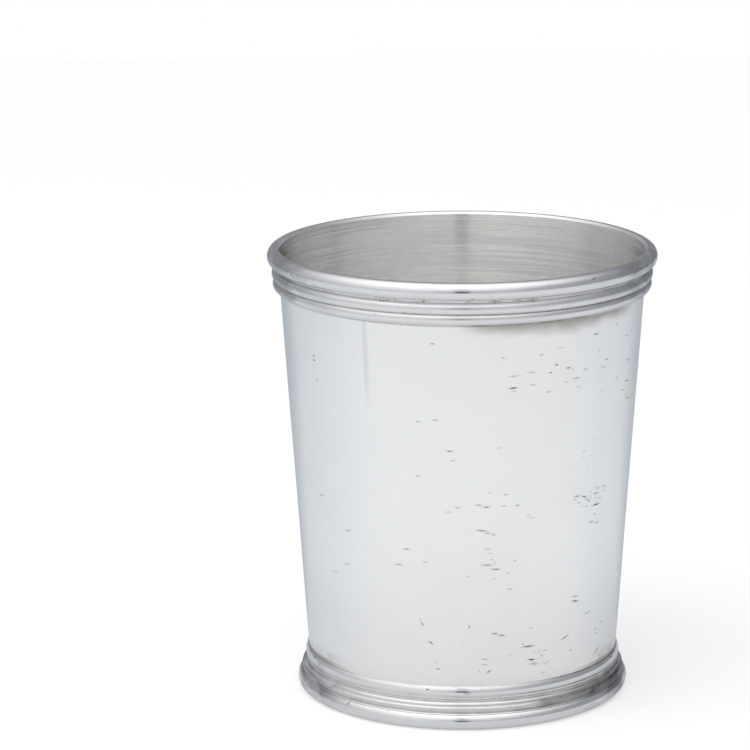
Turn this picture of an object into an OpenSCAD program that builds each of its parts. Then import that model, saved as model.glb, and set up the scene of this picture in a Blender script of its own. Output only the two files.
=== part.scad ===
// Straight-sided silver julep cup: a tapered wall, a set-in bottom and reeded wire mouldings.
// The cup stands on z = 0 with its axis on z. All lengths are in millimetres.

/* [Cup] */
// Height of the cup
cup_h = 95.25; // [88:0.25:105]
// Outer diameter of the wall at the lip
wall_lip_d = 77.65; // [72:0.05:84]
// Outer diameter of the wall where it would meet the table
wall_base_d = 64.5; // [60:0.05:70]
// Thickness of the wall
wall_t = 0.5; // [0.4:0.05:0.8]
// Height of the wall's lower edge above the table
wall_lift = 0.3; // [0.1:0.05:1]
// Width of the eased inner edge of the lip
lip_ease = 0.3; // [0.15:0.05:0.35]

/* [Bottom] */
// Thickness of the bottom disc
bottom_t = 0.6; // [0.5:0.05:1.2]
// Height of the disc's underside above the table
bottom_rise = 3; // [2.2:0.1:5]

/* [Rim moulding] */
// Diameter of the roll at the lip
roll_d = 3.66; // [3.4:0.02:4]
// How far the roll stands out from the wall
roll_out = 2.22; // [2:0.02:2.6]
// Diameter of the upper reed
upper_reed_d = 2.9; // [2.6:0.05:3.2]
// How far the upper reed stands out from the wall
upper_reed_out = 1.5; // [1.3:0.02:1.7]
// Diameter of the lower reed
lower_reed_d = 2.6; // [2.3:0.05:2.9]
// How far the lower reed stands out from the wall
lower_reed_out = 1.42; // [1.2:0.02:1.6]
// Width of the groove's floor between the roll and the upper reed
rim_groove_w = 0.23; // [0.1:0.01:0.4]
// Drop from the middle of the upper reed to the middle of the lower one
reed_drop = 2.17; // [2:0.01:2.4]
// Thickness of the wire behind its grooves
rim_web = 0.65; // [0.5:0.05:0.9]
// Depth filed off the lower reed to make its seat for the solder
rim_flat = 0.06; // [0.03:0.01:0.15]

/* [Foot moulding] */
// Diameter of the roll that the cup stands on
base_roll_d = 3.8; // [3.8:0.05:4]
// How far the base roll stands out from the wall
base_roll_out = 2.82; // [2.8:0.02:2.9]
// Depth filed off the base roll to make its standing face
base_flat = 0.05; // [0.03:0.01:0.08]
// Radius of the cove over the base roll
cove_r = 0.4; // [0.36:0.01:0.44]
// Depth of the cove
cove_depth = 0.14; // [0.12:0.01:0.18]
// Height of the cove's middle
cove_z = 3.72; // [3.7:0.01:3.75]
// Diameter of the small reed over the cove
quirk_d = 0.8; // [0.7:0.02:0.9]
// How far the small reed stands out from the wall
quirk_out = 1.73; // [1.67:0.01:1.78]
// Height of the small reed's middle
quirk_z = 4.6; // [4.5:0.01:4.7]
// Diameter of the swelling bead
swell_d = 1.9; // [1.8:0.02:2]
// How far the swelling bead stands out from the wall
swell_out = 1.35; // [1.2:0.01:1.5]
// Height of the swelling bead's middle
swell_z = 5.03; // [4.95:0.01:5.1]
// Number of fine reeds
fine_reeds = 2; // [1:1:2]
// Diameter of a fine reed
fine_reed_d = 1.6; // [1.4:0.05:1.8]
// Rise from one fine reed to the next
fine_reed_rise = 0.66; // [0.62:0.01:0.7]
// Height of the lowest fine reed's middle
fine_reed_z = 6.05; // [6:0.01:6.1]
// How far a fine reed stands out from the wall
fine_reed_out = 0.79; // [0.74:0.01:0.84]
// Diameter of the collar bead at the top
collar_d = 4.2; // [4:0.05:4.4]
// How far the collar bead stands out from the wall
collar_out = 0.73; // [0.68:0.01:0.78]
// Height of the collar bead's middle
collar_z = 7.6; // [7.5:0.02:7.7]
// Height of the moulding's upper edge
foot_h = 8.8; // [8.7:0.02:8.9]
// Thickness of the wire behind its fine reeds
foot_web = 0.45; // [0.3:0.01:0.5]
// How far the cove's face lies inside the small reed
cove_inset = 0.08; // [0.05:0.01:0.12]

/* [Solder] */
// Thickness of the solder in each joint
solder_t = 0.1; // [0.06:0.01:0.14]
// Width of the solder under the rim moulding
rim_fillet_w = 0.16; // [0.1:0.02:0.3]
// Height of the solder under the rim moulding
rim_fillet_h = 0.45; // [0.3:0.05:1]
// Width of the solder over the foot moulding
foot_fillet_w = 0.14; // [0.08:0.01:0.16]
// Height of the solder over the foot moulding
foot_fillet_h = 0.4; // [0.3:0.05:0.6]
// Width and height of the solder under the bottom disc
bottom_fillet = 0.6; // [0.3:0.05:0.9]

/* [Hidden] */
$fn = 180;

// Rim moulding, from the lip down
roll_z = cup_h - roll_d / 2;
upper_reed_z = roll_z - roll_d / 2 - rim_groove_w - upper_reed_d / 2;
lower_reed_z = upper_reed_z - reed_drop;
rim_bottom_z = lower_reed_z - lower_reed_d / 2 + rim_flat;
rim_outer_r = wall_out(roll_z) + roll_out;

// Foot moulding, from the table up
base_roll_z = base_roll_d / 2 - base_flat;
base_roll_r = crest_centre(base_roll_z, base_roll_out, base_roll_d);
foot_outer_r = base_roll_r + base_roll_d / 2;
cove_face_r = wall_out(quirk_z) + quirk_out - cove_inset;

// Radius of the wall's outer face at a height
function wall_out(z) = (wall_base_d + (wall_lip_d - wall_base_d) * z / cup_h) / 2;

// Radius of the wall's inner face at a height
function wall_in(z) = wall_out(z) - wall_t;

// Radius of a moulding's bore at a height, which leaves room for the solder
function bore(z) = wall_out(z) + solder_t;

// Radius at which a bead of some diameter is centred, so that its crest stands out as given
function crest_centre(z, out, d) = wall_out(z) + out - d / 2;

// One bead of a drawn wire, as its round outline
module bead(z, out, d) {
    translate([crest_centre(z, out, d), z])
        circle(d = d);
}

// The lip is dressed to one round with the roll, across the wall, the solder and the moulding
module under_lip_round() {
    square([rim_outer_r, roll_z]);
    bead(roll_z, roll_out, roll_d);
}

module body_wall() {
    color("silver")
        rotate_extrude()
            intersection() {
                polygon([
                    [wall_in(wall_lift), wall_lift],
                    [wall_out(wall_lift), wall_lift],
                    [wall_out(cup_h), cup_h],
                    [wall_in(cup_h) + lip_ease, cup_h],
                    [wall_in(cup_h - 2 * lip_ease), cup_h - 2 * lip_ease]
                ]);
                under_lip_round();
            }
}

module bottom_disc() {
    top_z = bottom_rise + bottom_t;
    color("gainsboro")
        rotate_extrude()
            polygon([
                [0, bottom_rise],
                [wall_in(bottom_rise) - solder_t, bottom_rise],
                [wall_in(top_z) - solder_t, top_z],
                [0, top_z]
            ]);
}

// The wire's flat back behind the grooves, up to the middle of the roll
module rim_back() {
    polygon([
        [bore(rim_bottom_z), rim_bottom_z],
        [bore(rim_bottom_z) + lower_reed_out / 2, rim_bottom_z],
        [wall_out(lower_reed_z) + rim_web, lower_reed_z],
        [wall_out(roll_z) + rim_web, roll_z],
        [bore(roll_z), roll_z]
    ]);
}

module rim_moulding() {
    color("lightgray")
        rotate_extrude()
            intersection() {
                union() {
                    rim_back();
                    bead(roll_z, roll_out, roll_d);
                    bead(upper_reed_z, upper_reed_out, upper_reed_d);
                    bead(lower_reed_z, lower_reed_out, lower_reed_d);
                }
                // Everything outside the wall and its solder
                polygon([
                    [bore(rim_bottom_z), rim_bottom_z],
                    [rim_outer_r, rim_bottom_z],
                    [rim_outer_r, cup_h],
                    [bore(cup_h), cup_h]
                ]);
            }
}

// The wire's back: a broad base under the cove, and a thin collar up to the top bead
module foot_back() {
    polygon([
        [bore(0), 0],
        [base_roll_r, 0],
        [cove_face_r, base_roll_z],
        [cove_face_r, quirk_z],
        [wall_out(swell_z) + foot_web, swell_z],
        [wall_out(collar_z) + foot_web, collar_z],
        [bore(foot_h), foot_h]
    ]);
}

module foot_moulding() {
    color("lightgray")
        rotate_extrude()
            intersection() {
                difference() {
                    union() {
                        foot_back();
                        bead(base_roll_z, base_roll_out, base_roll_d);
                        bead(quirk_z, quirk_out, quirk_d);
                        bead(swell_z, swell_out, swell_d);
                        for (i = [0 : fine_reeds - 1])
                            bead(fine_reed_z + i * fine_reed_rise, fine_reed_out, fine_reed_d);
                        bead(collar_z, collar_out, collar_d);
                    }
                    translate([cove_face_r - cove_depth + cove_r, cove_z])
                        circle(r = cove_r);
                }
                // Everything outside the wall and its solder, from the table up
                polygon([
                    [bore(0), 0],
                    [foot_outer_r, 0],
                    [foot_outer_r, foot_h],
                    [bore(foot_h), foot_h]
                ]);
            }
}

module rim_solder() {
    color("darkgray")
        rotate_extrude()
            intersection() {
                polygon([
                    [wall_out(rim_bottom_z - rim_fillet_h), rim_bottom_z - rim_fillet_h],
                    [bore(rim_bottom_z) + rim_fillet_w, rim_bottom_z],
                    [bore(rim_bottom_z), rim_bottom_z],
                    [bore(cup_h), cup_h],
                    [wall_out(cup_h), cup_h]
                ]);
                under_lip_round();
            }
}

module foot_solder() {
    color("darkgray")
        rotate_extrude()
            polygon([
                [wall_out(wall_lift), wall_lift],
                [bore(wall_lift), wall_lift],
                [bore(foot_h), foot_h],
                [bore(foot_h) + foot_fillet_w, foot_h],
                [wall_out(foot_h + foot_fillet_h), foot_h + foot_fillet_h]
            ]);
}

module bottom_solder() {
    top_z = bottom_rise + bottom_t;
    low_z = bottom_rise - bottom_fillet;
    color("darkgray")
        rotate_extrude()
            polygon([
                [wall_in(low_z), low_z],
                [wall_in(top_z), top_z],
                [wall_in(top_z) - solder_t, top_z],
                [wall_in(bottom_rise) - solder_t, bottom_rise],
                [wall_in(bottom_rise) - solder_t - bottom_fillet, bottom_rise]
            ]);
}

body_wall();
bottom_disc();
rim_moulding();
foot_moulding();
rim_solder();
foot_solder();
bottom_solder();
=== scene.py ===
import bpy
import bmesh
import math
import random
import numpy as np
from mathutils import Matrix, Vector, noise


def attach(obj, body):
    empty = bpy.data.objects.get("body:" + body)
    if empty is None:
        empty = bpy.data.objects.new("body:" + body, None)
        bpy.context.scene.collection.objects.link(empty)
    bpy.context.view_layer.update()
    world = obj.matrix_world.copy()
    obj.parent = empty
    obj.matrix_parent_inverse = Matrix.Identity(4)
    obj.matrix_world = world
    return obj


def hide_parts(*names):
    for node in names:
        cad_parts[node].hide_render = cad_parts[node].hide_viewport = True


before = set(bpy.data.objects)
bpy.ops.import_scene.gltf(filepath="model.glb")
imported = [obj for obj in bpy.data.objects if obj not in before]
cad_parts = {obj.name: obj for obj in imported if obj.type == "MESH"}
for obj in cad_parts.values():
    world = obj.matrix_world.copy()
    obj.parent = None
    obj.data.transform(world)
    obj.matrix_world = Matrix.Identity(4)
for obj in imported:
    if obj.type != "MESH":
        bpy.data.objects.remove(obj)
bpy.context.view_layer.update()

mm = 0.001
fullTurn = 2 * math.pi
print("frame loaded")

# ---- camera, at the photograph's angle

view = {
    "place": (0.05, -737.2, 240.35),  # mm from the middle of the standing face
    "turn": (76.793, 0.333, 1.355),  # degrees
    "lens": 172.02,
}

cameraData = bpy.data.cameras.new("studioCamera")
cameraData.lens = view["lens"]
cameraData.sensor_width = 36
cameraData.clip_start = 0.02
cameraData.clip_end = 20
camera = bpy.data.objects.new("studioCamera", cameraData)
camera.location = Vector(view["place"]) * mm
camera.rotation_euler = [math.radians(a) for a in view["turn"]]
bpy.context.scene.collection.objects.link(camera)
bpy.context.scene.camera = camera
bpy.context.scene.view_settings.view_transform = "Standard"


# ---- helpers for node trees

def addNode(tree, kind, inputs=None, **settings):
    made = tree.nodes.new(kind)
    for key, value in settings.items():
        setattr(made, key, value)
    for key, value in (inputs or {}).items():
        if isinstance(value, bpy.types.NodeSocket):
            tree.links.new(value, made.inputs[key])
        else:
            made.inputs[key].default_value = value
    return made


def doMath(tree, operation, first, second=0.0, third=0.0):
    return addNode(tree, "ShaderNodeMath", {0: first, 1: second, 2: third}, operation=operation).outputs[0]


def times(tree, first, second):
    return doMath(tree, "MULTIPLY", first, second)


def timesPlus(tree, first, second, third):
    return doMath(tree, "MULTIPLY_ADD", first, second, third)


def larger(tree, first, second):
    return doMath(tree, "MAXIMUM", first, second)


def splitXYZ(tree, vector):
    return addNode(tree, "ShaderNodeSeparateXYZ", {0: vector}).outputs


def stretch(tree, vector, by):
    return addNode(tree, "ShaderNodeVectorMath", {0: vector, 1: by}, operation="MULTIPLY").outputs[0]


def lengthOf(tree, vector):
    return addNode(tree, "ShaderNodeVectorMath", {0: vector}, operation="LENGTH").outputs["Value"]


def seenDirectly(tree):
    rays = addNode(tree, "ShaderNodeLightPath").outputs
    return larger(tree, rays["Is Camera Ray"], rays["Is Transmission Ray"])


def remap(tree, value, fromLow, fromHigh, toLow=0.0, toHigh=1.0, smooth=True):
    kind = "SMOOTHSTEP" if smooth else "LINEAR"
    made = addNode(tree, "ShaderNodeMapRange", {
        "Value": value, "From Min": fromLow, "From Max": fromHigh, "To Min": toLow, "To Max": toHigh,
    }, interpolation_type=kind)
    return made.outputs["Result"]


def blendColours(tree, share, first, second):
    # 6, 7 and 2 are the Mix node's colour sockets
    return addNode(tree, "ShaderNodeMix", {0: share, 6: first, 7: second}, data_type="RGBA").outputs[2]


def newGroup(name, inputs, outputs):
    tree = bpy.data.node_groups.new(name, "ShaderNodeTree")
    kinds = {"vector": "NodeSocketVector", "value": "NodeSocketFloat", "colour": "NodeSocketColor"}
    for label, kind in inputs:
        tree.interface.new_socket(name=label, in_out="INPUT", socket_type=kinds[kind])
    for label, kind in outputs:
        tree.interface.new_socket(name=label, in_out="OUTPUT", socket_type=kinds[kind])
    return tree, tree.nodes.new("NodeGroupInput").outputs, tree.nodes.new("NodeGroupOutput").inputs


# ---- studio: a white tent that is darker low down on the right and behind, over a pale table

studio = {
    "brightSide": -35,  # degrees round from the camera's side where the tent is lightest
    "tentTop": 1.36,
    "tentLow": (0.31, 0.48, 0.76),  # light near the table: far side, sides, bright side
    "riseFrom": (28, 18, -5),  # degrees up where the tent starts to brighten
    "riseTo": (86, 78, 72),
    "horizonAt": -3,  # degrees up
    "horizonDark": 0.82,
    "cameraEdges": (6, 2),  # degrees off its middle where the dark camera starts and is full
    "cameraDark": 0.15,
    "lowerDark": 0.55,  # share of that darkness below the camera, and above it
    "upperDark": 0.35,
    "tableRadius": 0.95,
    "tableSide": 8,  # degrees round to the table's lightest side
    "tableNear": 0.745,
    "tableFar": 0.70,
    # painted shadow on the mirrored table close round the cup
    "shadowNearCup": 0.91,
    "tableGlow": 0.45,  # share of the table's light that the cup doesn't shade
    "glowGain": 1.17,
    "shownGrey": 0.45,  # the table as the camera sees it: a pale grey and the light added to it
    "shownGlow": 0.56,
    "lampPlace": (-0.28, -0.30, 0.80),
    "lampSize": (0.7, 0.5),
    "lampPower": 2.2,
}


def threeSteps(tree, share, values):
    # from the first value through the second to the third
    low = remap(tree, share, 0.0, 0.5, values[0], values[1], smooth=False)
    high = remap(tree, share, 0.5, 1.0, 0.0, values[2] - values[1], smooth=False)
    return doMath(tree, "ADD", low, high)


def towardsSide(tree, parts, degrees):
    # 1 at that many degrees round from the front, 0 on the far side
    x, y = parts[0], parts[1]
    turn = math.radians(degrees)
    length = doMath(tree, "SQRT", doMath(tree, "ADD", times(tree, x, x), times(tree, y, y)))
    along = times(tree, x, math.sin(turn))
    along = timesPlus(tree, y, -math.cos(turn), along)
    along = doMath(tree, "DIVIDE", along, larger(tree, length, 1e-4))
    return timesPlus(tree, along, 0.5, 0.5)


def asShare(degreesOff):
    # what towardsSide gives that many degrees away from its side
    return math.cos(math.radians(degreesOff)) / 2 + 0.5


def makeStudio():
    world = bpy.data.worlds.new("studioTent")
    bpy.context.scene.world = world
    world.use_nodes = True
    tree = world.node_tree
    tree.nodes.clear()
    direction = addNode(tree, "ShaderNodeTexCoord").outputs["Generated"]
    parts = splitXYZ(tree, direction)
    side = towardsSide(tree, parts, studio["brightSide"])
    height = doMath(tree, "DEGREES", doMath(tree, "ARCSINE", parts[2]))
    low = threeSteps(tree, side, studio["tentLow"])
    start = threeSteps(tree, side, studio["riseFrom"])
    end = threeSteps(tree, side, studio["riseTo"])
    rise = remap(tree, height, start, end)
    light = doMath(tree, "ADD", low, times(tree, rise, doMath(tree, "SUBTRACT", studio["tentTop"], low)))
    # a thin dark line where table and tent meet, and the dark camera on its stand
    offHorizon = doMath(tree, "ABSOLUTE", doMath(tree, "SUBTRACT", height, studio["horizonAt"]))
    light = times(tree, light, remap(tree, offHorizon, 1, 5, studio["horizonDark"], 1.0))
    fromCamera = towardsSide(tree, parts, 0)
    wide = remap(tree, fromCamera, 0.96, 1.0, 1.0, 0.85)
    light = times(tree, light, larger(tree, wide, remap(tree, height, 0, 30)))
    narrow = remap(tree, fromCamera, *(asShare(edge) for edge in studio["cameraEdges"]))
    stand = remap(tree, height, 9, 15, 1.0, studio["upperDark"])
    stand = times(tree, stand, remap(tree, height, -6, 1, studio["lowerDark"], 1.0))
    stand = times(tree, stand, remap(tree, height, 40, 60, 1.0, 0.0))
    dark = times(tree, narrow, stand)
    light = times(tree, light, remap(tree, dark, 0.0, 1.0, 1.0, studio["cameraDark"], smooth=False))
    cool = remap(tree, light, 0.25, 0.85)
    colour = blendColours(tree, cool, (0.94, 0.97, 1.04, 1), (1.0, 1.0, 1.0, 1))
    tent = addNode(tree, "ShaderNodeBackground", {"Color": colour, "Strength": light})
    white = addNode(tree, "ShaderNodeBackground", {"Color": (1, 1, 1, 1), "Strength": 1.0})
    both = addNode(tree, "ShaderNodeMixShader", {
        0: seenDirectly(tree), 1: tent.outputs[0], 2: white.outputs[0]})
    addNode(tree, "ShaderNodeOutputWorld", {"Surface": both.outputs[0]})

    lampData = bpy.data.lights.new("softbox", "AREA")
    lampData.shape = "RECTANGLE"
    lampData.size, lampData.size_y = studio["lampSize"]
    lampData.energy = studio["lampPower"]
    lamp = bpy.data.objects.new("softbox", lampData)
    lamp.location = studio["lampPlace"]
    towardsCup = Vector((0, 0, 0.03)) - lamp.location
    lamp.rotation_euler = towardsCup.to_track_quat("-Z", "Y").to_euler()
    lamp.visible_glossy = False
    bpy.context.scene.collection.objects.link(lamp)


def tableMaterial():
    # the cup mirrors a table with painted shade and a painted glow, and the camera sees a plain pale one
    material = bpy.data.materials.new("whiteTable")
    material.use_nodes = True
    tree = material.node_tree
    tree.nodes.clear()
    place = addNode(tree, "ShaderNodeTexCoord").outputs["Object"]
    parts = splitXYZ(tree, place)
    side = towardsSide(tree, parts, studio["tableSide"])
    away = lengthOf(tree, place)
    behind = towardsSide(tree, parts, 0)
    # painted shade on the mirrored table: darker further out, a painted shadow close round the cup, darker
    # behind it and away from its lightest side
    shade = remap(tree, away, 0.16, 0.36, studio["tableNear"], studio["tableFar"])
    shade = times(tree, shade, remap(tree, away, 0.05, 0.13, studio["shadowNearCup"], 1.0))
    shade = times(tree, shade, remap(tree, side, 0.0, 0.75, 0.82, 1.0, smooth=False))
    shade = times(tree, shade, remap(tree, behind, 0.03, 0.24, 0.78, 1.0))
    # and a painted bluish tint where that painted shade is deeper
    tint = blendColours(tree, remap(tree, side, 0.2, 0.85), (0.96, 0.985, 1.03, 1), (0.985, 1.0, 1.012, 1))
    tint = blendColours(tree, remap(tree, behind, 0.03, 0.2), (0.88, 0.97, 1.07, 1), tint)
    grey = addNode(tree, "ShaderNodeVectorMath", {0: tint, "Scale": shade}, operation="SCALE").outputs[0]
    # part of the mirrored table's light is a painted glow, which lightens the cup's shadow on it
    glowShare = studio["tableGlow"]
    shaded = addNode(tree, "ShaderNodeVectorMath", {0: grey, "Scale": 1 - glowShare}, operation="SCALE")
    lit = addNode(tree, "ShaderNodeBsdfDiffuse", {"Color": shaded.outputs[0]})
    glow = addNode(tree, "ShaderNodeEmission", {"Color": grey, "Strength": glowShare * studio["glowGain"]})
    mirrored = addNode(tree, "ShaderNodeAddShader", {0: lit.outputs[0], 1: glow.outputs[0]})
    pale = addNode(tree, "ShaderNodeBsdfDiffuse", {"Color": (*[studio["shownGrey"]] * 3, 1)})
    lift = addNode(tree, "ShaderNodeEmission", {"Color": (1, 1, 1, 1), "Strength": studio["shownGlow"]})
    shown = addNode(tree, "ShaderNodeAddShader", {0: pale.outputs[0], 1: lift.outputs[0]})
    both = addNode(tree, "ShaderNodeMixShader", {
        0: seenDirectly(tree), 1: mirrored.outputs[0], 2: shown.outputs[0]})
    clear = addNode(tree, "ShaderNodeBsdfTransparent")
    under = addNode(tree, "ShaderNodeNewGeometry").outputs["Backfacing"]
    whole = addNode(tree, "ShaderNodeMixShader", {0: under, 1: both.outputs[0], 2: clear.outputs[0]})
    addNode(tree, "ShaderNodeOutputMaterial", {"Surface": whole.outputs[0]})
    return material


def makeTable():
    bpy.ops.object.select_all(action="DESELECT")
    bpy.ops.mesh.primitive_circle_add(
        vertices=128, radius=studio["tableRadius"], fill_type="NGON", location=(0, 0, 0))
    table = bpy.context.object
    table.name = "table"
    table.data.materials.append(tableMaterial())


makeStudio()
makeTable()
print("studio ready")


# ---- the cup's lengths in mm, as the frame has them

cup = {
    "height": 95.25,
    "lipDiameter": 77.65,
    "baseDiameter": 64.5,
    "wall": 0.5,
    "lift": 0.3,
    "lipEase": 0.3,
    "solder": 0.1,
    "stepsRound": 360,
}
rim = {  # beads as radius of the middle, height of the middle, radius of the bead
    "roll": (39.073, 93.415, 1.828),
    "upperReed": (38.51, 89.91, 1.45),
    "lowerReed": (38.43, 87.74, 1.3),
    "web": 0.65,
    "bottom": 86.5,
}
foot = {
    "baseRoll": (33.30, 1.85, 1.9),
    "cove": (34.48, 3.72, 0.4),
    "coveFace": 34.22,
    "quirk": (33.90, 4.6, 0.4),
    "swell": (33.00, 5.03, 0.95),
    "fineReeds": ((32.66, 6.05, 0.8), (32.70, 6.71, 0.8)),
    "collar": (31.40, 7.6, 2.1),
    "top": 8.8,
}


def wallOut(z):
    return (cup["baseDiameter"] + (cup["lipDiameter"] - cup["baseDiameter"]) * z / cup["height"]) / 2


def wallIn(z):
    return wallOut(z) - cup["wall"]


def bore(z):
    return wallOut(z) + cup["solder"]


# ---- outlines from arcs, as (radius, height) points in mm

def angleAt(bead, point):
    return math.degrees(math.atan2(point[1] - bead[1], point[0] - bead[0]))


def arc(bead, start, end, step=5.0):
    count = max(2, math.ceil(abs(end - start) / step))
    angles = [math.radians(start + (end - start) * i / count) for i in range(count + 1)]
    return [(bead[0] + bead[2] * math.cos(a), bead[1] + bead[2] * math.sin(a)) for a in angles]


def beadsMeet(first, second):
    # the outer one of the two points where two beads cross
    across = (second[0] - first[0], second[1] - first[1])
    apart = math.hypot(*across)
    along = (first[2] ** 2 - second[2] ** 2 + apart ** 2) / (2 * apart)
    half = math.sqrt(first[2] ** 2 - along ** 2)
    middle = (first[0] + along * across[0] / apart, first[1] + along * across[1] / apart)
    aside = (half * across[1] / apart, -half * across[0] / apart)
    return max((middle[0] + s * aside[0], middle[1] + s * aside[1]) for s in (1, -1))


def meetsLine(bead, radiusAt, above):
    # where a bead meets a nearly upright line, above or below the bead's middle
    z = bead[1]
    for _ in range(12):
        reach = bead[2] ** 2 - (radiusAt(z) - bead[0]) ** 2
        z = bead[1] + (1 if above else -1) * math.sqrt(max(reach, 0))
    return (radiusAt(z), z)


def tidyOutline(points, closest=0.004):
    # points closer together than that many mm become one
    kept = [points[0]]
    for point in points[1:]:
        if math.dist(point, kept[-1]) > closest:
            kept.append(point)
    return kept


def rimOutline():
    roll, upper, lower = rim["roll"], rim["upperReed"], rim["lowerReed"]
    webAt = lambda z: wallOut(z) + rim["web"]
    seat = (lower[0] + math.sqrt(lower[2] ** 2 - (lower[1] - rim["bottom"]) ** 2), rim["bottom"])
    valley = beadsMeet(lower, upper)
    grooveLow = meetsLine(upper, webAt, True)
    grooveHigh = meetsLine(roll, webAt, False)
    lip = meetsLine(roll, bore, True)
    points = [(bore(rim["bottom"]), rim["bottom"])]
    points += arc(lower, angleAt(lower, seat), angleAt(lower, valley), 6.0)
    points += arc(upper, angleAt(upper, valley), angleAt(upper, grooveLow), 6.0)
    points += arc(roll, angleAt(roll, grooveHigh), angleAt(roll, lip), 5.0)
    return tidyOutline(points)


def footOutline():
    base, cove, quirk, swell, collar = (foot[k] for k in ("baseRoll", "cove", "quirk", "swell", "collar"))
    lowReed, highReed = foot["fineReeds"]
    faceAt = lambda z: foot["coveFace"]
    standing = (base[0] + math.sqrt(base[2] ** 2 - base[1] ** 2), 0.0)
    overBase = beadsMeet(base, cove)
    overCove = meetsLine(cove, faceAt, True)
    points = [(bore(0), 0.0)]
    points += arc(base, angleAt(base, standing), angleAt(base, overBase), 5.0)
    points += arc(cove, angleAt(cove, overBase) % 360, angleAt(cove, overCove) % 360, 9.0)
    beads = (quirk, swell, lowReed, highReed, collar)
    start = meetsLine(quirk, faceAt, False)
    for bead, above in zip(beads, beads[1:]):
        end = beadsMeet(bead, above)
        points += arc(bead, angleAt(bead, start), angleAt(bead, end), 5.0)
        start = end
    points += arc(collar, angleAt(collar, start), angleAt(collar, footTop()), 4.0)
    points += [(bore(foot["top"]), foot["top"])]
    return tidyOutline(points)


def footTop():
    # the collar bead's outer edge on the moulding's flat top
    collar = foot["collar"]
    return (collar[0] + math.sqrt(collar[2] ** 2 - (foot["top"] - collar[1]) ** 2), foot["top"])


def wallOutline():
    roll = rim["roll"]
    outerLip = meetsLine(roll, wallOut, True)
    innerEdge = wallIn(cup["height"]) + cup["lipEase"]
    innerLip = (innerEdge, roll[1] + math.sqrt(roll[2] ** 2 - (innerEdge - roll[0]) ** 2))
    eased = cup["height"] - 2 * cup["lipEase"]
    low = cup["lift"]
    return [(wallIn(low), low), (wallOut(low), low), outerLip, innerLip, (wallIn(eased), eased)]


# ---- turning: an outline drawn point by point, then spun round the axis

def turnPiece(name, outline, closed=True, cuts=None, steps=None, smoothAngle=30):
    # cuts are a length in mm and the number of cuts that each longer edge gets
    bpy.ops.object.select_all(action="DESELECT")
    first = outline[0]
    bpy.ops.mesh.primitive_plane_add(size=mm, location=(first[0] * mm, 0, first[1] * mm))
    piece = bpy.context.object
    piece.name = name
    piece.data.name = name
    bpy.ops.object.transform_apply(location=True, rotation=True, scale=True)
    bpy.ops.object.mode_set(mode="EDIT")
    bpy.ops.mesh.select_mode(type="VERT")
    bpy.ops.mesh.select_all(action="SELECT")
    bpy.ops.mesh.merge(type="CENTER")
    for before, after in zip(outline, outline[1:]):
        step = ((after[0] - before[0]) * mm, 0, (after[1] - before[1]) * mm)
        bpy.ops.mesh.extrude_region_move(TRANSFORM_OT_translate={"value": step})
    if closed:  # an edge between the outline's two ends
        shape = bmesh.from_edit_mesh(piece.data)
        for v in shape.verts:
            v.select = len(v.link_edges) == 1
        shape.select_flush_mode()
        bmesh.update_edit_mesh(piece.data)
        bpy.ops.mesh.edge_face_add()
    if cuts:
        shape = bmesh.from_edit_mesh(piece.data)
        for v in shape.verts:
            v.select = False
        for edge in shape.edges:
            edge.select = edge.calc_length() > cuts[0] * mm
        bpy.ops.mesh.select_mode(type="EDGE")
        bmesh.update_edit_mesh(piece.data)
        bpy.ops.mesh.subdivide(number_cuts=cuts[1])
        bpy.ops.mesh.select_mode(type="VERT")
    bpy.ops.mesh.select_all(action="SELECT")
    bpy.ops.mesh.spin(steps=steps or cup["stepsRound"], angle=fullTurn, center=(0, 0, 0), axis=(0, 0, 1))
    bpy.ops.mesh.select_all(action="SELECT")
    bpy.ops.mesh.remove_doubles(threshold=1e-6)
    bpy.ops.mesh.select_all(action="SELECT")
    bpy.ops.mesh.normals_make_consistent(inside=False)
    bpy.ops.object.mode_set(mode="OBJECT")
    bpy.ops.object.shade_smooth_by_angle(angle=math.radians(smoothAngle))
    return piece


def fitPiece(piece, node, slotName, *materials):
    for material in materials:
        piece.data.materials.append(material)
    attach(piece, "root")
    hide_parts(node)
    print(piece.name, len(piece.data.polygons), "faces")


# ---- wear that is in the metal itself, with grime and painted shade in its marks and grooves

def setAttribute(piece, name, values):
    made = piece.data.attributes.get(name) or piece.data.attributes.new(name, "FLOAT", "POINT")
    made.data.foreach_set("value", np.asarray(values, dtype=np.float32))


def readPoints(items, field):
    # places come in mm, and normals as they are
    found = np.empty(len(items) * 3)
    items.foreach_get(field, found)
    return found.reshape(-1, 3) / (1 if field == "normal" else mm)


def acrossMark(points, mark):
    # distance along and across a mark, in mm; marks are (degrees round, height, length, tilt, force)
    around, height, length, tilt, force = mark
    angle = np.degrees(np.arctan2(points[:, 0], -points[:, 1])) - around
    angle = np.radians((angle + 180) % 360 - 180)
    u = angle * np.hypot(points[:, 0], points[:, 1])
    v = points[:, 2] - height
    turn = math.radians(tilt)
    return u * math.cos(turn) + v * math.sin(turn), v * math.cos(turn) - u * math.sin(turn)


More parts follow.
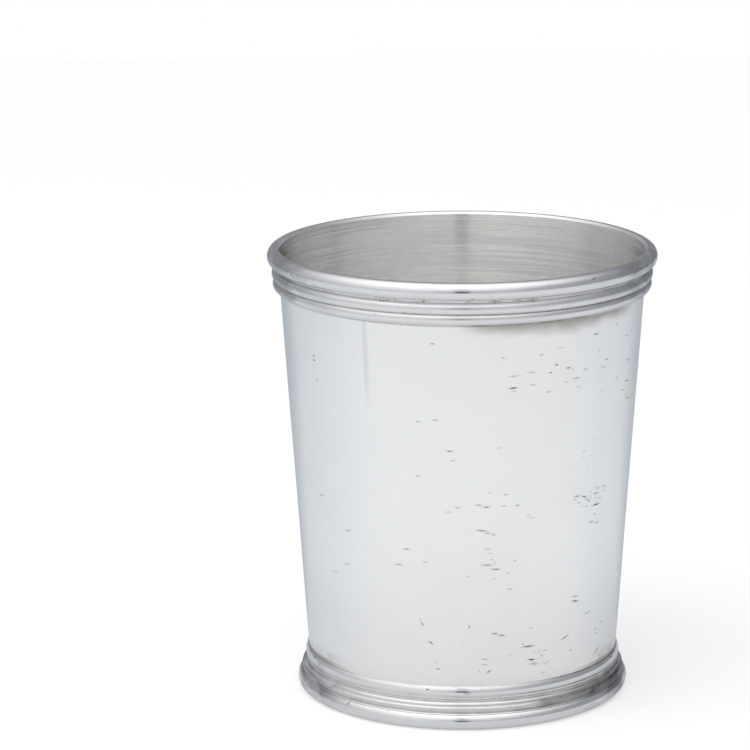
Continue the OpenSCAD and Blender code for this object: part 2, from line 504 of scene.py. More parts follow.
def pressMarks(piece, marks, look, inside):
    # the faces round each mark are cut finer, then pushed in with a slightly raised edge
    width, depth = look["markWidth"], look["markDepth"]
    mesh = piece.data
    smooth = readPoints(mesh.vertices, "co")
    widest, highest = np.hypot(smooth[:, 0], smooth[:, 1]).max(), smooth[:, 2].max()
    centres = readPoints(mesh.polygons, "center")
    chosen = np.zeros(len(centres), bool)
    for mark in marks:
        u, v = acrossMark(centres, mark)
        chosen |= (np.abs(u) < mark[2] / 2 + 0.75) & (np.abs(v) < width * 3 + 0.3)
    chosen &= ~inside(centres)
    mesh.vertices.foreach_set("select", np.zeros(len(mesh.vertices), bool))
    mesh.edges.foreach_set("select", np.zeros(len(mesh.edges), bool))
    mesh.polygons.foreach_set("select", chosen)
    bpy.ops.object.select_all(action="DESELECT")
    piece.select_set(True)
    bpy.context.view_layer.objects.active = piece
    bpy.ops.object.mode_set(mode="EDIT")
    bpy.ops.mesh.select_mode(type="FACE")
    bpy.ops.mesh.subdivide(number_cuts=look["markCuts"], smoothness=1.0, ngon=False)
    bpy.ops.object.mode_set(mode="OBJECT")
    points = readPoints(mesh.vertices, "co")
    normals = readPoints(mesh.vertices, "normal")
    push = np.zeros(len(points))
    grimeAndShade = np.zeros(len(points))
    for mark in marks:
        u, v = acrossMark(points, mark)
        spread = np.sqrt((u / (mark[2] / 2)) ** 2 + (v / width) ** 2)
        push += mark[4] * depth * (0.3 * np.exp(-3 * (spread - 1.8) ** 2) - np.exp(-spread ** 2))
        # grime in each mark, partly painted shade for the dark that the dent reflects
        grimeAndShade = np.maximum(grimeAndShade, mark[4] * np.exp(-spread ** 2))
    push[inside(points)] = 0
    grimeAndShade[inside(points)] = 0
    points += normals * push[:, None]
    # nothing stands out past the smooth shape
    points[:, :2] *= np.minimum(1, widest / np.maximum(np.hypot(points[:, 0], points[:, 1]), 1))[:, None]
    points[:, 2] = np.minimum(points[:, 2], highest)
    mesh.vertices.foreach_set("co", (points * mm).ravel())
    setAttribute(piece, "grimeAndShade", np.clip(grimeAndShade, 0, 1))
    mesh.update()


def shadeGrooves(piece, valleys, reach):
    # valleys are (radius, height, force), and fade out over the reach, all in mm
    points = readPoints(piece.data.vertices, "co")
    around = np.hypot(points[:, 0], points[:, 1])
    depth = np.zeros(len(points))
    for radius, height, force in valleys:
        near = ((around - radius) ** 2 + (points[:, 2] - height) ** 2) / reach ** 2
        depth = np.maximum(depth, force * np.exp(-near))
    setAttribute(piece, "groove", depth)


# ---- finishes that several materials share

def makeFineLines():
    # broken hairlines that run along the direction with the lowest frequency
    tree, given, made = newGroup("fineLines", (
        ("Coordinates", "vector"), ("Frequency", "vector"), ("Width", "value"), ("Breaks", "value")),
        (("Lines", "value"),))
    grain = addNode(tree, "ShaderNodeTexNoise", {
        "Vector": stretch(tree, given[0], given[1]), "Scale": 1.0, "Detail": 3.0, "Roughness": 0.6})
    offMiddle = doMath(tree, "ABSOLUTE", doMath(tree, "SUBTRACT", grain.outputs[0], 0.5))
    line = remap(tree, offMiddle, 0.0, given[2], 1.0, 0.0, smooth=False)
    broken = addNode(tree, "ShaderNodeTexNoise", {"Vector": given[0], "Scale": 240.0, "Detail": 2.0})
    share = remap(tree, broken.outputs[0], given[3], doMath(tree, "ADD", given[3], 0.12))
    tree.links.new(times(tree, line, share), made[0])
    return tree


def makeBlotches():
    # soft uneven patches
    tree, given, made = newGroup("blotches", (
        ("Coordinates", "vector"), ("Frequency", "value"), ("Low", "value"), ("High", "value")),
        (("Mask", "value"),))
    cloud = addNode(tree, "ShaderNodeTexNoise", {
        "Vector": given[0], "Scale": given[1], "Detail": 4.0, "Roughness": 0.55, "Distortion": 0.4})
    tree.links.new(remap(tree, cloud.outputs[0], given[2], given[3]), made[0])
    return tree


def makeSpecks():
    # small separate spots, in only some of the cells
    tree, given, made = newGroup("specks", (
        ("Coordinates", "vector"), ("Frequency", "vector"), ("Size", "value"), ("Share", "value")),
        (("Mask", "value"),))
    place = stretch(tree, given[0], given[1])
    cells = addNode(tree, "ShaderNodeTexVoronoi", {"Vector": place, "Scale": 1.0}).outputs
    spot = remap(tree, cells["Distance"], given[2], times(tree, given[2], 0.4))
    chance = addNode(tree, "ShaderNodeSeparateColor", {0: cells["Color"]}).outputs[0]
    kept = doMath(tree, "LESS_THAN", chance, given[3])
    tree.links.new(times(tree, spot, kept), made[0])
    return tree


def makeTurningLines():
    # the rings that the lathe and the polishing mop leave, on walls and on flats
    tree, given, made = newGroup("turningLines", (
        ("Coordinates", "vector"), ("Frequency", "value")), (("Height", "value"),))
    parts = splitXYZ(tree, given[0])
    around = addNode(tree, "ShaderNodeCombineXYZ", {0: parts[0], 1: parts[1]}).outputs[0]
    place = addNode(tree, "ShaderNodeCombineXYZ", {
        0: times(tree, lengthOf(tree, around), given[1]), 1: times(tree, parts[2], given[1]),
        2: times(tree, parts[0], 25)}).outputs[0]
    rings = addNode(tree, "ShaderNodeTexNoise", {
        "Vector": place, "Scale": 1.0, "Detail": 3.0, "Roughness": 0.7})
    tree.links.new(rings.outputs[0], made[0])
    return tree


fineLines = makeFineLines()
blotches = makeBlotches()
specks = makeSpecks()
turningLines = makeTurningLines()


def useGroup(tree, group, **inputs):
    return addNode(tree, "ShaderNodeGroup", inputs, node_tree=group).outputs[0]


def silverMaterial(name, roughness, anisotropic=0.0):
    material = bpy.data.materials.new(name)
    material.use_nodes = True
    tree = material.node_tree
    shader = tree.nodes["Principled BSDF"]
    shader.inputs["Metallic"].default_value = 1.0
    shader.inputs["Roughness"].default_value = roughness
    if anisotropic:
        shader.inputs["Anisotropic"].default_value = anisotropic
        shader.inputs["Anisotropic Rotation"].default_value = 0.25
        tangent = addNode(tree, "ShaderNodeTangent", direction_type="RADIAL", axis="Z")
        tree.links.new(tangent.outputs[0], shader.inputs["Tangent"])
    place = addNode(tree, "ShaderNodeTexCoord").outputs["Object"]
    return material, tree, shader, place


def attribute(tree, name):
    return addNode(tree, "ShaderNodeAttribute", attribute_name=name).outputs["Fac"]


def finish(tree, shader, colour, roughness, height, depth):
    tree.links.new(colour, shader.inputs["Base Color"])
    tree.links.new(roughness, shader.inputs["Roughness"])
    bump = addNode(tree, "ShaderNodeBump", {"Height": height, "Distance": depth * mm, "Strength": 1.0})
    tree.links.new(bump.outputs[0], shader.inputs["Normal"])


# ---- body wall

wallLook = {
    "silver": (0.940, 0.942, 0.945, 1),
    "dull": (0.80, 0.80, 0.79, 1),
    "tarnishAndShade": (0.30, 0.27, 0.235, 1),
    "grimeAndShade": (0.05, 0.05, 0.055, 1),
    "roughness": 0.085,
    "nickedSide": 60,  # degrees round from the front to where fine nicks crowd
    "hungSide": 33,  # and to the tarnish and painted shade that hang under the rim
    "hungTo": 0.0852,  # heights in metres
    "rimSeam": 0.0866,
    "footDirtAndShade": (0.0128, 0.0094),  # where the dirt and painted shade over the foot start and are full
    "footLine": (0.0102, 0.0095),
    "streak": -31.0,  # degrees round to a dull streak under the rim
    "streakFoot": (0.066, 0.074),
    "waves": 0.03,  # mm that the sheet wanders in and out
    "wavesBetween": (10, 84),
    "satinSilver": (1.0, 0.992, 0.98, 1),
    "satinShade": (0.96, 0.95, 0.935, 1),
    "satinRoughness": 0.15,
    "satinCoarse": 0.13,
    "satinScratched": 0.08,
    "markCuts": 5,
    "markWidth": 0.13,  # mm
    "markDepth": 0.04,
    "stepsRound": 300,
}
# dings on the wall: degrees round from the front, height, length, tilt in degrees, force
upperDings = [
    (46, 82, 1.5, -5, 0.8), (25, 79.5, 0.8, 0, 0.7), (32, 80.5, 1.3, 0, 0.35), (30.5, 77, 0.55, 0, 1.3),
    (28.5, 75.5, 0.5, 0, 1.2), (35, 76, 0.9, 0, 1.1), (22, 76, 1.8, -4, 0.5), (16, 75.5, 1.6, 4, 0.55),
    (16, 73, 1.3, 3, 1.6), (16.5, 72.3, 0.7, 0, 0.5), (28, 71.5, 1.0, 0, 0.6), (34.5, 73, 0.8, 0, 0.5),
    (38.5, 73.5, 1.6, 0, 0.8), (42, 75, 1.2, -10, 0.5), (52, 76, 1.0, -12, 0.8), (50.5, 74.5, 1.3, -8, 0.5),
    (67, 74, 1.9, -6, 0.7), (67, 69.5, 1.9, -12, 0.9), (64, 68, 1.9, -10, 0.6), (69.5, 65.5, 2.4, -6, 0.9),
    (75, 65.5, 1.4, 30, 0.7), (12.5, 79.5, 0.5, 0, 0.6), (13.6, 79.3, 0.4, 0, 0.5), (56.5, 83, 1.2, -10, 0.5),
    (64, 79.5, 1.4, -8, 0.6), (-54, 76.5, 0.7, 0, 1.1), (-54, 75.6, 0.7, 0, 1.2), (-53, 71.5, 1.0, 0, 0.4),
    (-9, 82.5, 0.9, 0, 0.7), (-14, 66, 0.9, 0, 0.6), (-8.5, 66.5, 1.1, 0, 0.7), (-4, 60, 1.2, 0, 0.9),
    (-3, 58, 1.0, 0, 0.5), (22.5, 73.4, 1.2, 0, 0.5), (39.5, 71.6, 1.0, 0, 0.4), (12, 60.5, 1.2, 10, 0.35)]
middleDings = [
    (14.5, 50.5, 0.9, 0, 0.6), (5.5, 48.5, 1.1, 0, 0.7), (8, 48, 1.3, -3, 0.9), (18.5, 48, 0.9, 0, 0.7),
    (-1.5, 48, 1.3, -4, 0.5), (-4.5, 47, 1.2, 0, 0.4), (13.8, 48.1, 1.0, 0, 0.5), (22.5, 45.5, 1.0, 0, 0.35),
    (24, 45, 1.4, 0, 0.4), (6.5, 43, 2.2, -7, 0.9), (8.5, 42.4, 1.3, -6, 0.6), (10.5, 42, 0.9, -10, 0.6),
    (8.5, 39, 1.3, 0, 0.45), (8.5, 35.5, 1.7, 0, 0.8), (11.5, 34.5, 1.3, 0, 1.1), (16.5, 30, 0.9, 0, 0.6),
    (41.5, 48, 1.4, -4, 0.9), (45, 47.5, 1.5, -16, 1.0), (47, 46.5, 1.6, -30, 0.8), (51.5, 45, 2.0, -2, 1.5),
    (42.5, 46.5, 0.9, 0, 0.5), (51, 47.5, 1.7, -6, 0.8), (52, 48.5, 1.4, 6, 0.6), (55.5, 48.5, 1.5, -8, 0.6),
    (46.5, 45.2, 0.9, -20, 0.5), (53.5, 46.2, 1.2, -10, 0.5), (49.5, 41.5, 1.6, -8, 0.7),
    (52.5, 41, 1.1, 0, 0.8), (51, 43, 0.9, -20, 0.5), (-14.5, 54.5, 0.9, 0, 0.5), (-55, 46.5, 1.5, 10, 0.6),
    (-42, 40.5, 1.2, 12, 0.6), (-19, 38.5, 1.1, 4, 0.8), (-22, 35, 1.6, 2, 0.7), (-12.5, 36, 1.1, 0, 0.5),
    (-43.5, 33, 1.2, 8, 0.6), (-50, 30.5, 2.0, 6, 0.4), (11, 32.5, 0.8, 30, 0.35), (9.5, 38, 0.9, 0, 0.35)]
lowerDings = [
    (43.5, 26, 1.5, -8, 0.7), (43.5, 25, 1.5, -12, 1.4), (50.5, 21.5, 2.0, 10, 0.6), (60.5, 18, 0.8, 0, 0.8),
    (57.5, 16, 0.9, 0, 0.7), (39.5, 17.5, 1.9, 22, 1.0), (58.5, 12, 2.1, 35, 1.1), (11.5, 20.5, 1.1, -5, 1.0),
    (14, 20, 1.1, -5, 1.1), (24, 17, 2.3, 0, 1.3), (25.5, 14, 1.4, -5, 1.6), (26.5, 13, 1.9, -6, 0.7),
    (22, 17.6, 0.8, -40, 0.6), (28.5, 15.5, 0.8, 30, 0.3), (30, 14.5, 0.8, 20, 0.3), (25, 21, 0.8, 0, 0.4),
    (8, 15, 1.3, -8, 0.6), (8, 13.8, 1.0, 0, 0.5), (9.5, 12.2, 1.0, 40, 1.0), (6, 12.5, 0.8, -50, 0.4),
    (-14, 22.5, 0.8, -60, 1.0), (-14.5, 23.5, 0.5, 0, 0.5), (-11, 18.5, 0.9, -30, 1.3),
    (2.5, 22.2, 0.7, 80, 0.8), (-8.5, 12.8, 0.7, 0, 0.9), (-9.5, 14.2, 0.5, 0, 0.5),
    (31.5, 12.5, 0.5, 0, 0.6)]
# fine marks close together: degrees round, height, spread round in degrees, spread up, how many
scrapes = [
    (49, 46.5, 4.5, 1.7, 16), (10, 34.5, 4, 2.2, 9), (45, 56, 4, 3.5, 7), (26, 14.5, 4, 1.4, 9),
    (62, 71, 5, 3.5, 7)]
# and some on the sides and back, which the photograph doesn't show
backDings = [
    (96, 58, 1.4, 10, 0.6), (104, 71, 1.0, 0, 0.7), (121, 33, 1.6, -15, 0.5), (133, 62, 1.1, 0, 0.8),
    (147, 24, 1.5, 20, 0.6), (158, 50, 0.9, 0, 0.5), (172, 68, 1.3, 5, 0.7), (189, 39, 1.2, 0, 0.6),
    (203, 57, 1.7, -8, 0.4), (216, 20, 1.1, 0, 0.7), (231, 74, 1.0, 30, 0.5), (246, 44, 1.4, 0, 0.6),
    (259, 28, 1.2, 12, 0.5), (268, 63, 0.9, 0, 0.6)]


def scatterMarks(groups):
    chance = random.Random(7)
    marks = []
    for around, height, spreadRound, spreadUp, count in groups:
        for _ in range(count):
            marks.append((chance.gauss(around, spreadRound), chance.gauss(height, spreadUp),
                          chance.uniform(0.3, 0.9), chance.uniform(-25, 15), chance.uniform(0.25, 0.55)))
    return marks


def onInside(points):
    # nearer to the wall's inner face than to its outer one
    around = np.hypot(points[:, 0], points[:, 1])
    return around < wallOut(points[:, 2]) - cup["wall"] / 2


def waveWall(piece):
    # the sheet isn't quite true: it wanders a little between its two mouldings
    low, high = wallLook["wavesBetween"]
    for vertex in piece.data.vertices:
        x, y, z = vertex.co / mm
        fade = min(max((z - low) / 12, 0), 1) * min(max((high - z) / 12, 0), 1)
        if fade > 0:
            broad = noise.noise(Vector((x / 17, y / 17, z / 26)))
            small = noise.noise(Vector((x / 7, y / 7, z / 11)))
            change = 1 + fade * wallLook["waves"] * (broad + 0.5 * small) / math.hypot(x, y)
            vertex.co = Vector((x * change, y * change, z)) * mm


def makePolishedWall():
    material, tree, shader, place = silverMaterial("polishedWall", wallLook["roughness"], 0.35)
    parts = splitXYZ(tree, place)
    clouds = useGroup(tree, blotches, Coordinates=place, Frequency=45.0, Low=0.35, High=0.75)
    level = useGroup(tree, fineLines, Coordinates=place, Frequency=(110, 110, 3800), Width=0.02, Breaks=0.48)
    slanted = addNode(tree, "ShaderNodeMapping", {"Vector": place, "Rotation": (0.5, 0.35, 0.2)}).outputs[0]
    crossing = useGroup(
        tree, fineLines, Coordinates=slanted, Frequency=(90, 90, 2300), Width=0.008, Breaks=0.56)
    nicks = useGroup(tree, specks, Coordinates=place, Frequency=(360, 360, 1000), Size=0.2, Share=0.07)
    patchy = useGroup(tree, blotches, Coordinates=place, Frequency=30.0, Low=0.45, High=0.6)
    worn = remap(tree, towardsSide(tree, parts, wallLook["nickedSide"]), 0.62, 0.85)
    nicks = times(tree, nicks, times(tree, patchy, worn))
    lines = larger(tree, level, times(tree, crossing, 0.8))
    grimeAndShade = attribute(tree, "grimeAndShade")
    # tarnish and painted shade hang under the rim moulding, most of it right of the front
    hung = remap(tree, towardsSide(tree, parts, wallLook["hungSide"]), 0.90, 0.97)
    ragged = useGroup(tree, blotches, Coordinates=place, Frequency=120.0, Low=0.25, High=0.75)
    edge = timesPlus(tree, ragged, -0.0022, wallLook["hungTo"] - 0.0012)
    seam = wallLook["rimSeam"]
    allRound = remap(tree, parts[2], seam - 0.0009, seam, 0.0, 0.4)
    tarnishAndShade = larger(tree, times(tree, hung, remap(tree, parts[2], edge, seam)), allRound)
    # dirt and painted shade lie over the foot's collar, most of it at both sides seen from the camera
    sides = remap(tree, towardsSide(tree, parts, 0), 0.88, 0.72, 0.1, 1.0)
    low = times(tree, remap(tree, parts[2], *wallLook["footDirtAndShade"]), ragged)
    low = larger(tree, low, remap(tree, parts[2], *wallLook["footLine"], 0.0, 0.95))
    tarnishAndShade = larger(tree, tarnishAndShade, times(tree, low, sides))
    # the dull streak, with a sharper edge on its far side
    offStreak = doMath(tree, "ARCTAN2", parts[0], times(tree, parts[1], -1))
    offStreak = doMath(tree, "SUBTRACT", doMath(tree, "DEGREES", offStreak), wallLook["streak"])
    streak = times(tree, remap(tree, offStreak, -1.3, -0.8), remap(tree, offStreak, 1.4, 0.0))
    streak = times(tree, streak, remap(tree, parts[2], *wallLook["streakFoot"]))
    dulled = timesPlus(tree, streak, 0.75, times(tree, clouds, 0.16))
    colour = blendColours(tree, dulled, wallLook["silver"], wallLook["dull"])
    colour = blendColours(tree, times(tree, tarnishAndShade, 0.85), colour, wallLook["tarnishAndShade"])
    # the dings' grime is partly painted shade, and the nicks are dark
    dark = larger(tree, times(tree, grimeAndShade, 0.95), times(tree, nicks, 0.5))
    colour = blendColours(tree, dark, colour, wallLook["grimeAndShade"])
    roughness = timesPlus(tree, clouds, 0.05, wallLook["roughness"])
    roughness = timesPlus(tree, lines, 0.10, roughness)
    roughness = timesPlus(tree, tarnishAndShade, 0.12, roughness)
    roughness = timesPlus(tree, dark, 0.3, roughness)
    height = times(tree, doMath(tree, "ADD", lines, times(tree, nicks, 3)), -1.0)
    finish(tree, shader, colour, roughness, height, 0.004)
    return material


def makeSatin():
    # the turned finish of the inside and of both faces of the bottom
    material, tree, shader, place = silverMaterial("satinInside", wallLook["satinRoughness"], 1.0)
    rings = useGroup(tree, turningLines, Coordinates=place, Frequency=2600.0)
    wide = useGroup(tree, turningLines, Coordinates=place, Frequency=420.0)
    clouds = useGroup(tree, blotches, Coordinates=place, Frequency=38.0, Low=0.4, High=0.8)
    scuffs = useGroup(tree, fineLines, Coordinates=place, Frequency=(900, 700, 260), Width=0.010, Breaks=0.55)
    bands = remap(tree, wide, 0.40, 0.62)
    fine = remap(tree, rings, 0.42, 0.60)
    coarse = timesPlus(tree, bands, 0.4, fine)
    shade = timesPlus(tree, bands, 0.3, times(tree, clouds, 0.15))
    shade = timesPlus(tree, fine, 0.35, shade)
    colour = blendColours(tree, shade, wallLook["satinSilver"], wallLook["satinShade"])
    roughness = timesPlus(tree, coarse, wallLook["satinCoarse"], wallLook["satinRoughness"])
    roughness = timesPlus(tree, scuffs, wallLook["satinScratched"], roughness)
    height = timesPlus(tree, scuffs, -0.6, rings)
    finish(tree, shader, colour, roughness, height, 0.006)
    return material


satinInside = makeSatin()
wall = turnPiece("bodyWall", wallOutline(), cuts=(50, 120), steps=wallLook["stepsRound"], smoothAngle=20)
waveWall(wall)
dings = upperDings + middleDings + lowerDings + backDings
pressMarks(wall, dings + scatterMarks(scrapes), wallLook, onInside)
fitPiece(wall, "body_wall", "turned_silver", makePolishedWall(), satinInside)
wallFaces = wall.data.polygons
wallFaces.foreach_set("material_index", onInside(readPoints(wallFaces, "center")).astype(np.int32))

# ---- bottom disc

bottom = {
    "rise": 3.0,
    "thick": 0.6,
    "fillet": 0.6,  # width and height of the solder under its edge
}
discLow, discTop = bottom["rise"], bottom["rise"] + bottom["thick"]
discEdge = [(wallIn(z) - cup["solder"], z) for z in (discLow, discTop)]
disc = turnPiece("bottomDisc", [(0, discLow), *discEdge, (0, discTop)], closed=False, cuts=(20, 20))
fitPiece(disc, "bottom_disc", "turned_silver", satinInside)

# ---- mouldings

mouldingLook = {
    "silver": (0.82, 0.825, 0.835, 1),
    "worn": (0.72, 0.72, 0.73, 1),
    "filmAndShade": (0.25, 0.255, 0.27, 1),
    "grooveTarnishAndShade": (0.50, 0.47, 0.40, 1),
    "grimeAndShade": (0.05, 0.045, 0.04, 1),
    "roughness": 0.065,
    "reedRoughness": 0.15,
    "markCuts": 3,
    "markWidth": 0.14,  # mm
    "markDepth": 0.04,
    "stepsRound": 480,
}
rimLook = {
    "dirtAndShadeSide": 60,  # degrees round from the front
    "reeds": (0.080, 0.0915),  # heights in metres between which the polish is duller
    "packedDirtAndShade": (0.0913, 0.0917),  # and between which dirt and painted shade are packed
    "filmAndShadeUnder": 0.099,  # and under which the grey film and painted shade are thick
    "filmAndShade": 0.6,
    "dirtAndShade": 0.35,
    "valleyReach": 0.28,  # mm
}
footLook = {
    "dirtAndShadeSide": 57,
    "reeds": (0.0040, 0.0072),
    "packedDirtAndShade": (0.0036, 0.0054),
    "filmAndShadeUnder": 0.0068,
    "filmAndShade": 0.95,
    "dirtAndShade": 0.85,
    "valleyReach": 0.2,
}
# nicks are like the wall's dings
rimNicks = [
    (3, 92.2, 1.0, 10, 0.5), (-11.3, 91.4, 0.5, 0, 0.9), (-17, 88.9, 0.5, 0, 0.8), (41, 94.4, 1.6, 12, 0.5),
    (-25, 91.7, 0.4, 90, 1.1), (-24, 91.6, 0.4, 80, 1.0), (-23, 91.6, 0.4, 60, 1.0),
    (-22.2, 91.5, 0.3, 0, 0.9), (-20, 91.5, 0.4, 0, 0.8), (9.7, 91.5, 0.4, 0, 0.7), (16.5, 91.5, 0.4, 0, 0.6),
    (21.3, 91.6, 0.5, 0, 0.8), (60, 93.6, 1.8, 30, 0.8), (-47, 92.5, 1.8, -20, 0.6),
    (-58, 93.2, 1.5, -30, 0.8), (72, 92.6, 1.4, 40, 0.8), (118, 93.8, 1.2, 0, 0.6), (151, 90.1, 1.0, 0, 0.7),
    (207, 93.0, 1.4, 15, 0.6), (254, 88.2, 1.0, 0, 0.5)]
footNicks = [
    (-12.3, 8.3, 0.6, -10, 1.2), (-43, 2.9, 0.9, 50, 0.9), (2, 7.6, 0.9, 0, 0.5), (37.5, 4.9, 1.0, 40, 1.2),
    (29, 4.8, 0.7, 0, 0.8), (47, 4.2, 0.7, 0, 1.1), (-62, 4.6, 1.4, -30, 0.8), (63, 4.4, 1.4, 25, 1.0),
    (-70, 8.6, 1.2, 20, 1.0), (-64, 7.9, 0.9, 0, 0.8), (71, 8.6, 1.2, -10, 0.9), (84, 2.4, 1.3, 0, 0.5),
    (140, 2.6, 1.2, 10, 0.7), (192, 7.9, 0.9, 0, 0.6), (244, 2.2, 1.3, 0, 0.6), (290, 5.2, 1.0, 0, 0.6)]
# valleys that hold dirt and painted shade: radius, height, force
rimValleys = [
    (39.05, 91.42, 1.0), (*beadsMeet(rim["lowerReed"], rim["upperReed"]), 0.8),
    (38.55, rim["bottom"], 1.0), (38.9, 95.2, 0.35)]
footValleys = [
    (34.08, 3.72, 1.0), (34.15, 4.25, 0.8), (33.9, 5.2, 0.4), (33.44, 5.87, 0.8), (33.41, 6.38, 0.6),
    (33.43, 7.05, 0.6), (33.2, 0.0, 0.9)]


def onBore(points):
    return np.hypot(points[:, 0], points[:, 1]) < bore(points[:, 2]) + 0.05


def heightBand(tree, height, limits, blur=0.0003):
    low, high = limits
    above = remap(tree, height, low - blur, low + blur)
    return times(tree, above, remap(tree, height, high + blur, high - blur))


def makePolishedMoulding(name, look):
    # the small reeds between two heights are less well polished than the large rolls
    material, tree, shader, place = silverMaterial(name, mouldingLook["roughness"])
    parts = splitXYZ(tree, place)
    groove = attribute(tree, "groove")
    grimeAndShade = attribute(tree, "grimeAndShade")
    clouds = useGroup(tree, blotches, Coordinates=place, Frequency=70.0, Low=0.35, High=0.75)
    patches = useGroup(tree, blotches, Coordinates=place, Frequency=210.0, Low=0.42, High=0.68)
    lines = useGroup(tree, fineLines, Coordinates=place, Frequency=(12, 12, 700), Width=0.02, Breaks=0.45)
    spots = useGroup(tree, specks, Coordinates=place, Frequency=(520, 520, 900), Size=0.26, Share=0.10)
    spots = times(tree, spots, timesPlus(tree, groove, 0.8, 0.2))
    # dirt and painted shade gather towards one side and on both sides seen from the camera
    toSide = towardsSide(tree, parts, look["dirtAndShadeSide"])
    toFront = towardsSide(tree, parts, 0)
    sides = remap(tree, toFront, 0.90, 0.70, 0.06, 1.0)
    sides = times(tree, sides, remap(tree, toFront, 0.2, 0.45, 0.3, 1.0))
    dirtAndShadeMask = larger(tree, remap(tree, toSide, 0.80, 1.0, 0.25, 1.0), times(tree, sides, 0.8))
    uneven = timesPlus(tree, patches, 0.45, 0.55)
    # tarnish and dirt in the grooves, partly painted shade where the beads shade each other
    tarnishAndShade = times(tree, groove, uneven)
    filled = times(tree, heightBand(tree, parts[2], look["packedDirtAndShade"]), remap(tree, toSide, 0.91, 0.965))
    dirtAndShade = times(tree, larger(tree, groove, filled), times(tree, uneven, dirtAndShadeMask))
    # a grey film that was never wiped off the two sides, streaked along the wire, with painted shade for the
    # darker reflections there
    along = stretch(tree, place, (0.5, 0.5, 2.2))
    smearsAndShade = useGroup(tree, blotches, Coordinates=along, Frequency=230.0, Low=0.28, High=0.62)
    filmAndShadeEdge = look["filmAndShadeUnder"]
    thick = remap(tree, parts[2], filmAndShadeEdge - 0.0005, filmAndShadeEdge + 0.0005, look["filmAndShade"], 0.25)
    smearsAndShade = times(tree, times(tree, smearsAndShade, sides), thick)
    reeds = heightBand(tree, parts[2], look["reeds"])
    colour = blendColours(tree, times(tree, clouds, 0.45), mouldingLook["silver"], mouldingLook["worn"])
    colour = blendColours(tree, smearsAndShade, colour, mouldingLook["filmAndShade"])
    colour = blendColours(tree, times(tree, tarnishAndShade, 0.8), colour, mouldingLook["grooveTarnishAndShade"])
    # grime in the nicks and dirt in the valleys, each partly painted shade
    dark = larger(tree, times(tree, grimeAndShade, 0.85), times(tree, spots, 0.7))
    dark = larger(tree, dark, times(tree, dirtAndShade, look["dirtAndShade"]))
    colour = blendColours(tree, dark, colour, mouldingLook["grimeAndShade"])
    roughness = timesPlus(tree, clouds, 0.05, mouldingLook["roughness"])
    roughness = timesPlus(tree, reeds, mouldingLook["reedRoughness"], roughness)
    roughness = timesPlus(tree, lines, 0.05, roughness)
    roughness = timesPlus(tree, tarnishAndShade, 0.12, roughness)
    roughness = timesPlus(tree, doMath(tree, "ADD", dark, smearsAndShade), 0.2, roughness)
    finish(tree, shader, colour, roughness, times(tree, lines, -1.0), 0.0015)
    return material


def makeMoulding(name, node, outline, nicks, valleys, look, finishName):
    ring = turnPiece(name, outline, steps=mouldingLook["stepsRound"])
    pressMarks(ring, nicks, mouldingLook, onBore)
    shadeGrooves(ring, valleys, look["valleyReach"])
    fitPiece(ring, node, "polished_silver", makePolishedMoulding(finishName, look))


makeMoulding("rimMoulding", "rim_moulding", rimOutline(), rimNicks, rimValleys, rimLook, "polishedRim")
makeMoulding("footMoulding", "foot_moulding", footOutline(), footNicks, footValleys, footLook, "polishedFoot")

# ---- solder

solderLook = {
    "silver": (0.74, 0.735, 0.72, 1),
    "tarnishAndShade": (0.24, 0.215, 0.18, 1),
    "pits": (0.12, 0.11, 0.10, 1),
    "roughness": 0.2,
    "dirtAndShadeSide": 28,  # degrees round from the front
    "rimFillet": (0.16, 0.45),  # width and height under the rim moulding, in mm
    "rimHollow": (0.07, 0.2),  # where that fillet is hollow
    "bottomHollow": ((0.35, 0.15), (0.12, 0.35)),
}


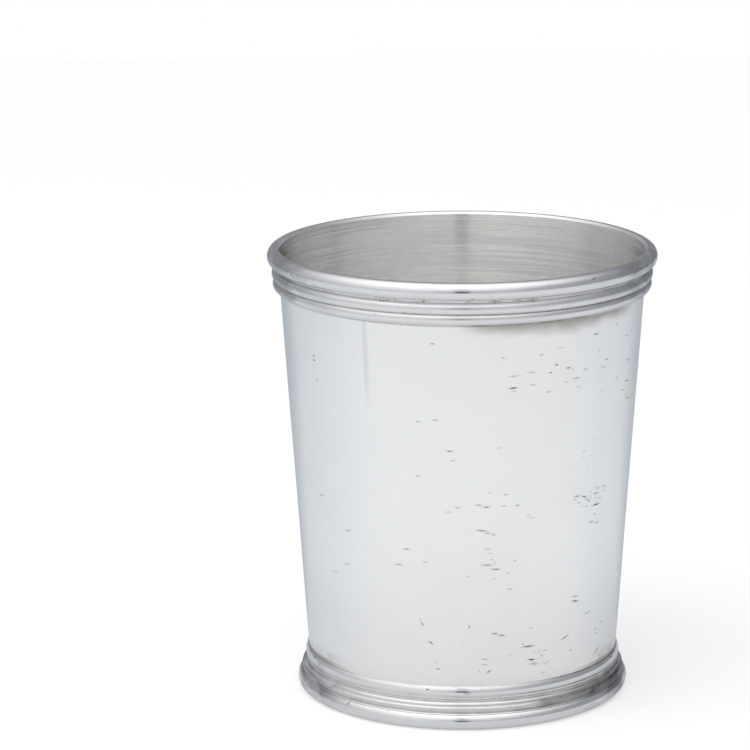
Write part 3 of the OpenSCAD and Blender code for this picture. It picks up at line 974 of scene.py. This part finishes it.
def makeDullSolder():
    material, tree, shader, place = silverMaterial("dullSolder", solderLook["roughness"])
    clouds = useGroup(tree, blotches, Coordinates=place, Frequency=160.0, Low=0.35, High=0.7)
    pits = useGroup(tree, specks, Coordinates=place, Frequency=(900, 900, 900), Size=0.3, Share=0.2)
    parts = splitXYZ(tree, place)
    # tarnish and painted shade, most of it right of the front under the rim
    dirtAndShadeMask = remap(tree, towardsSide(tree, parts, solderLook["dirtAndShadeSide"]), 0.92, 0.97, 0.3, 0.95)
    tarnishAndShade = times(tree, timesPlus(tree, clouds, 0.5, 0.5), dirtAndShadeMask)
    colour = blendColours(tree, tarnishAndShade, solderLook["silver"], solderLook["tarnishAndShade"])
    colour = blendColours(tree, times(tree, pits, 0.6), colour, solderLook["pits"])
    roughness = timesPlus(tree, clouds, 0.15, solderLook["roughness"])
    finish(tree, shader, colour, roughness, times(tree, pits, -1.0), 0.01)
    return material


dullSolder = makeDullSolder()
seam = rim["bottom"]
filletWidth, filletHeight = solderLook["rimFillet"]
hollowWidth, hollowHeight = solderLook["rimHollow"]
rimSolder = turnPiece("rimSolder", [
    (wallOut(seam - filletHeight), seam - filletHeight),
    (wallOut(seam - hollowHeight) + hollowWidth, seam - hollowHeight),
    (bore(seam) + filletWidth, seam), (bore(seam), seam),
    meetsLine(rim["roll"], bore, True), meetsLine(rim["roll"], wallOut, True)], cuts=(3, 12))
fitPiece(rimSolder, "rim_solder", "silver_solder", dullSolder)

# the foot's solder is dressed to one round with the collar bead, and polished with it
collar, top, lift = foot["collar"], foot["top"], cup["lift"]
shoulder = arc(collar, angleAt(collar, footTop()), angleAt(collar, meetsLine(collar, wallOut, True)), 3.0)
footSolder = turnPiece(
    "footSolder", [(wallOut(lift), lift), (bore(lift), lift), (bore(top), top), *shoulder], cuts=(3, 12))
# painted shade in the corner where the shoulder meets the wall
shadeGrooves(footSolder, [(*shoulder[-1], 1.0)], 0.25)
fitPiece(footSolder, "foot_solder", "silver_solder", makePolishedMoulding("polishedShoulder", footLook))

filletFoot = discLow - bottom["fillet"]
hollow = [(wallIn(discLow - down) - out, discLow - down) for out, down in solderLook["bottomHollow"]]
bottomSolder = turnPiece("bottomSolder", [
    (wallIn(filletFoot), filletFoot), (wallIn(discTop), discTop), *reversed(discEdge),
    (wallIn(discLow) - cup["solder"] - bottom["fillet"], discLow), *hollow])
fitPiece(bottomSolder, "bottom_solder", "silver_solder", dullSolder)
print("pieces ready")
